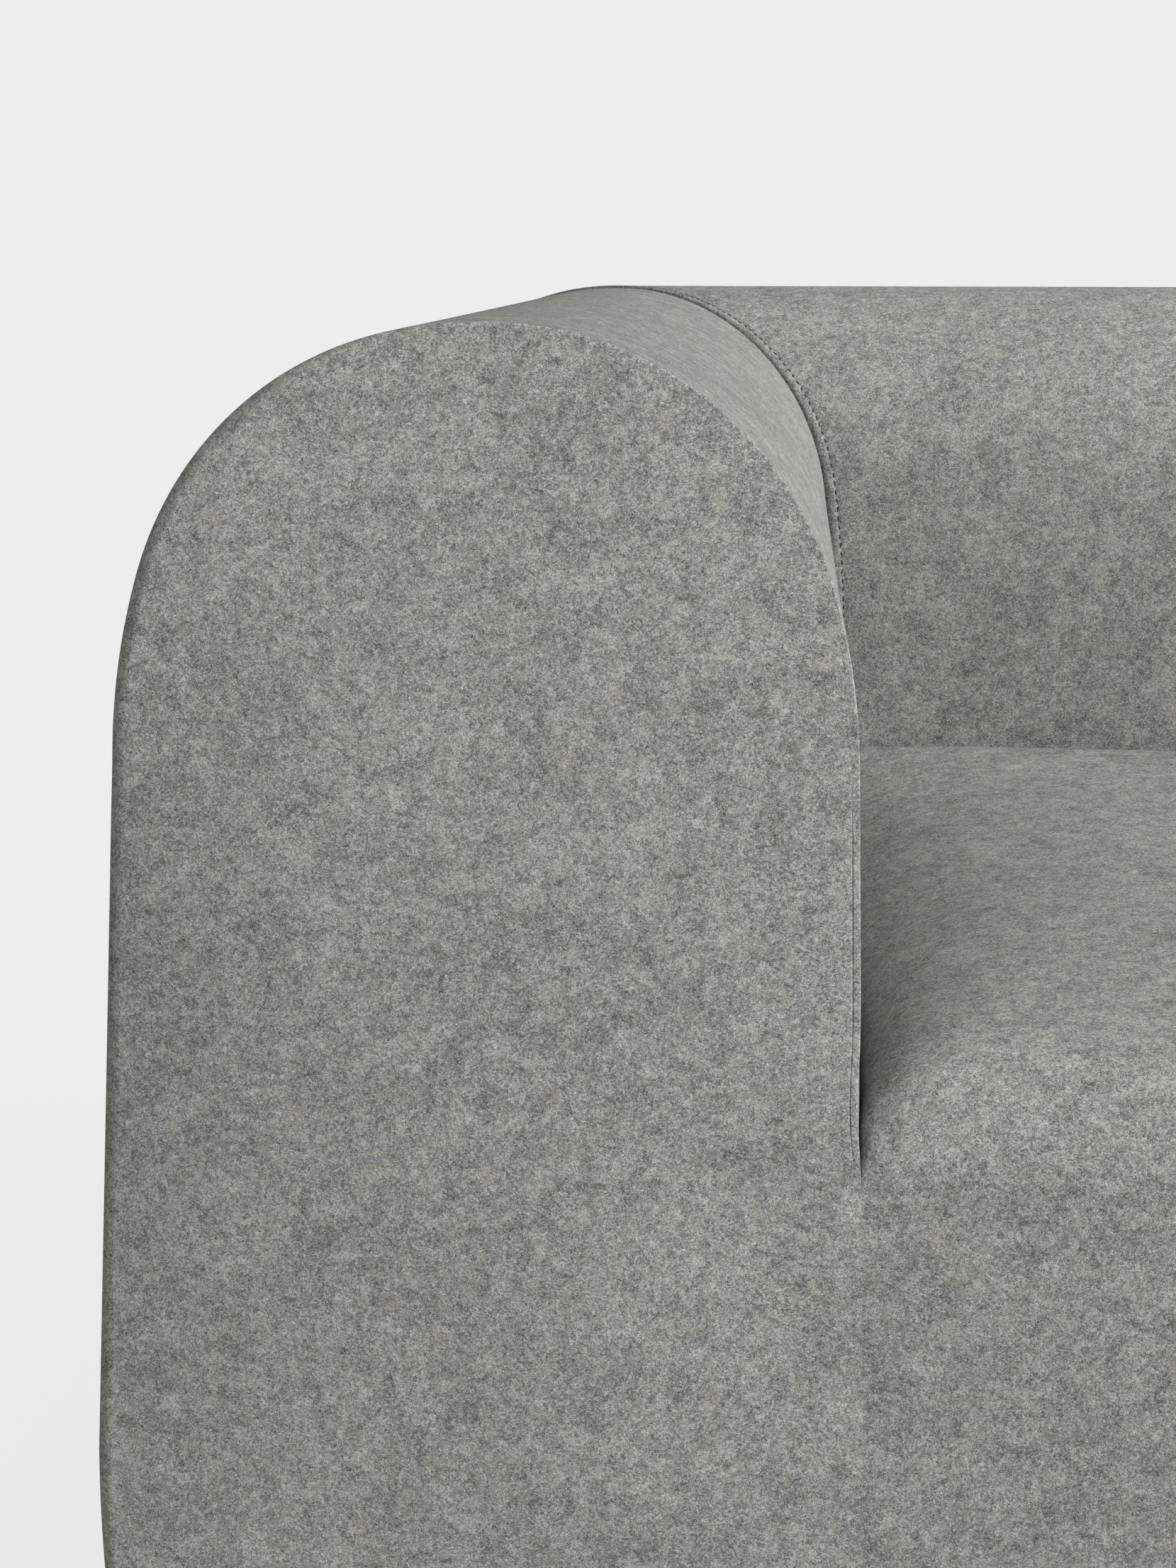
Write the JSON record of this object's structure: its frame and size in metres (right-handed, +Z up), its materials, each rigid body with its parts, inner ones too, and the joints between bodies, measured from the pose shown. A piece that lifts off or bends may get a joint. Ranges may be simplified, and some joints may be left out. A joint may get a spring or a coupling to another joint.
{
  "type": "modular sofa",
  "caption": "Low upholstered sofa of mirrored corner modules in grey felt, with round-topped arms and backrest, a waterfall seat and hidden levelling feet.",
  "frame": {"origin": "middle of the footprint on the floor, at the joint between the two modules", "axes": "+X along the sofa to the right as seen from the front, +Y to the back, +Z up"},
  "size_m": [2.1, 0.935, 0.684],
  "materials": {
    "felt": "matte",
    "foam": "matte",
    "plywood": "matte",
    "timber": "matte",
    "spring_steel": "satin",
    "zinc_steel": "satin",
    "pad_felt": "matte",
    "coated_steel": "satin",
    "dust_cloth": "matte",
    "black_plastic": "matte"
  },
  "bodies": {
    "left_module": {"left_arm_cover": "felt", "left_back_cover": "felt", "left_seat_cover": "felt", "left_arm_foam": "foam", "left_back_foam": "foam", "left_seat_foam": "foam", "left_base_board": "plywood", "left_arm_ribs": "plywood", "left_back_ribs": "plywood", "left_arm_stringers": "timber", "left_back_stringers": "timber", "left_corner_post": "timber", "left_front_rail": "timber", "left_rear_rail": "timber", "left_arm_rail": "timber", "left_joint_rail": "timber", "left_corner_blocks": "timber", "left_seat_springs": "spring_steel", "left_spring_clips": "zinc_steel", "left_spring_pad": "pad_felt", "left_frame_screws": "zinc_steel", "left_connector_screws": "zinc_steel", "left_foot_nuts": "zinc_steel", "left_connectors": "coated_steel", "left_bottom_cloth": "dust_cloth", "left_joint_side_cloth": "dust_cloth"},
    "left_front_outer_foot_body": {"left_front_outer_foot": "black_plastic"},
    "left_rear_outer_foot_body": {"left_rear_outer_foot": "black_plastic"},
    "left_front_joint_foot_body": {"left_front_joint_foot": "black_plastic"},
    "left_rear_joint_foot_body": {"left_rear_joint_foot": "black_plastic"},
    "right_module": {"right_arm_cover": "felt", "right_back_cover": "felt", "right_seat_cover": "felt", "right_arm_foam": "foam", "right_back_foam": "foam", "right_seat_foam": "foam", "right_base_board": "plywood", "right_arm_ribs": "plywood", "right_back_ribs": "plywood", "right_arm_stringers": "timber", "right_back_stringers": "timber", "right_corner_post": "timber", "right_front_rail": "timber", "right_rear_rail": "timber", "right_arm_rail": "timber", "right_joint_rail": "timber", "right_corner_blocks": "timber", "right_seat_springs": "spring_steel", "right_spring_clips": "zinc_steel", "right_spring_pad": "pad_felt", "right_frame_screws": "zinc_steel", "right_connector_screws": "zinc_steel", "right_foot_nuts": "zinc_steel", "right_connectors": "coated_steel", "right_bottom_cloth": "dust_cloth", "right_joint_side_cloth": "dust_cloth"},
    "right_front_outer_foot_body": {"right_front_outer_foot": "black_plastic"},
    "right_rear_outer_foot_body": {"right_rear_outer_foot": "black_plastic"},
    "right_front_joint_foot_body": {"right_front_joint_foot": "black_plastic"},
    "right_rear_joint_foot_body": {"right_rear_joint_foot": "black_plastic"}
  },
  "joints": [
    {"name": "module_joint", "type": "slide", "parent": "left_module", "child": "right_module", "axis": [1, 0, 0], "range_m": [0, 0.25]},
    {"name": "left_front_outer_foot_level", "type": "slide", "parent": "left_module", "child": "left_front_outer_foot_body", "axis": [0, 0, 1], "range_m": [-0.012, 0]},
    {"name": "left_rear_outer_foot_level", "type": "slide", "parent": "left_module", "child": "left_rear_outer_foot_body", "axis": [0, 0, 1], "range_m": [-0.012, 0]},
    {"name": "left_front_joint_foot_level", "type": "slide", "parent": "left_module", "child": "left_front_joint_foot_body", "axis": [0, 0, 1], "range_m": [-0.012, 0]},
    {"name": "left_rear_joint_foot_level", "type": "slide", "parent": "left_module", "child": "left_rear_joint_foot_body", "axis": [0, 0, 1], "range_m": [-0.012, 0]},
    {"name": "right_front_outer_foot_level", "type": "slide", "parent": "right_module", "child": "right_front_outer_foot_body", "axis": [0, 0, 1], "range_m": [-0.012, 0]},
    {"name": "right_rear_outer_foot_level", "type": "slide", "parent": "right_module", "child": "right_rear_outer_foot_body", "axis": [0, 0, 1], "range_m": [-0.012, 0]},
    {"name": "right_front_joint_foot_level", "type": "slide", "parent": "right_module", "child": "right_front_joint_foot_body", "axis": [0, 0, 1], "range_m": [-0.012, 0]},
    {"name": "right_rear_joint_foot_level", "type": "slide", "parent": "right_module", "child": "right_rear_joint_foot_body", "axis": [0, 0, 1], "range_m": [-0.012, 0]}
  ]
}
